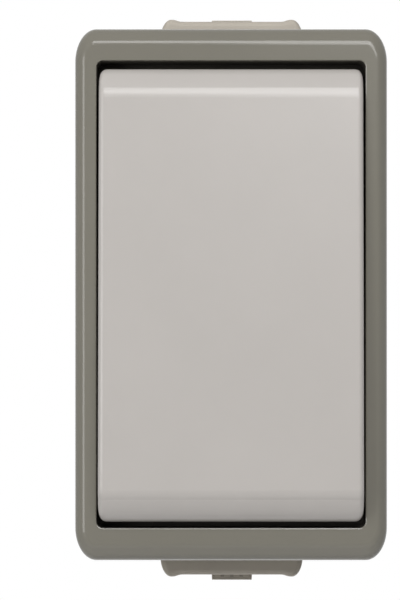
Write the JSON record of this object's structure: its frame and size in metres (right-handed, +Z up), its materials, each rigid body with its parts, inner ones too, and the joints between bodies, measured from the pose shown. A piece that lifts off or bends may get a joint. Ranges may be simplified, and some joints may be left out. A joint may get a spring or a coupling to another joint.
{
  "type": "surface-mounted light switch",
  "caption": "Surface-mounted rocker light switch: a rounded bezel with a wide tilting rocker on a wall box, soft cable entries at both ends and a sprung changeover contact inside.",
  "frame": {"origin": "middle of the housing's back face, on the wall plane", "axes": "+X to the right, +Y into the wall, +Z up; the rocker faces -Y"},
  "size_m": [0.066, 0.0472, 0.1266],
  "materials": {
    "frame_plastic": "dark warm grey, fine moulded texture",
    "rocker_plastic": "light warm grey, fine moulded texture",
    "housing_plastic": "dark warm grey, moulded",
    "entry_rubber": "mid grey soft rubber",
    "seal_rubber": "black rubber",
    "insert_plastic": "pale moulded",
    "cradle_plastic": "grey moulded",
    "strip_brass": "stamped",
    "clamp_steel": "zinc plated",
    "screw_steel": "zinc plated",
    "contact_silver": "silver alloy"
  },
  "bodies": {
    "housing": {"rear_housing": "housing_plastic", "top_cable_entry": "entry_rubber", "bottom_cable_entry": "entry_rubber", "cover_frame": "frame_plastic", "frame_gasket": "seal_rubber", "splash_seal": "seal_rubber", "insert_base": "insert_plastic", "insert_cover": "insert_plastic", "insert_screws": "screw_steel", "common_strip": "strip_brass", "upper_strip": "strip_brass", "lower_strip": "strip_brass", "fixed_contacts": "contact_silver", "common_upper_clamp": "clamp_steel", "common_lower_clamp": "clamp_steel", "upper_clamp": "clamp_steel", "lower_clamp": "clamp_steel", "terminal_screws": "screw_steel"},
    "rocker": {"rocker": "rocker_plastic", "rocker_cradle": "cradle_plastic", "pivot_pin": "screw_steel", "toggle_spring": "screw_steel"},
    "plunger": {"spring_plunger": "cradle_plastic"},
    "lever": {"contact_lever": "strip_brass", "moving_contacts": "contact_silver"}
  },
  "joints": [
    {"name": "rocker_tilt", "type": "hinge", "parent": "housing", "child": "rocker", "pos_m": [0, -0.0385, 0], "axis": [1, 0, 0], "range_deg": [0, 4.6]},
    {"name": "plunger_slide", "type": "slide", "parent": "rocker", "child": "plunger", "axis": [0, -0.9992, 0.0401], "range_m": [0, 0.0008], "stiffness_N_per_m": 150, "springref_m": -0.004, "deforming": ["toggle_spring"]},
    {"name": "lever_tilt", "type": "hinge", "parent": "housing", "child": "lever", "pos_m": [0, -0.019, 0], "axis": [-1, 0, 0], "range_deg": [0, 14]}
  ],
  "couplings": [
    {"joint": "lever_tilt", "follows": "rocker_tilt", "ratio": 3.0434}
  ]
}
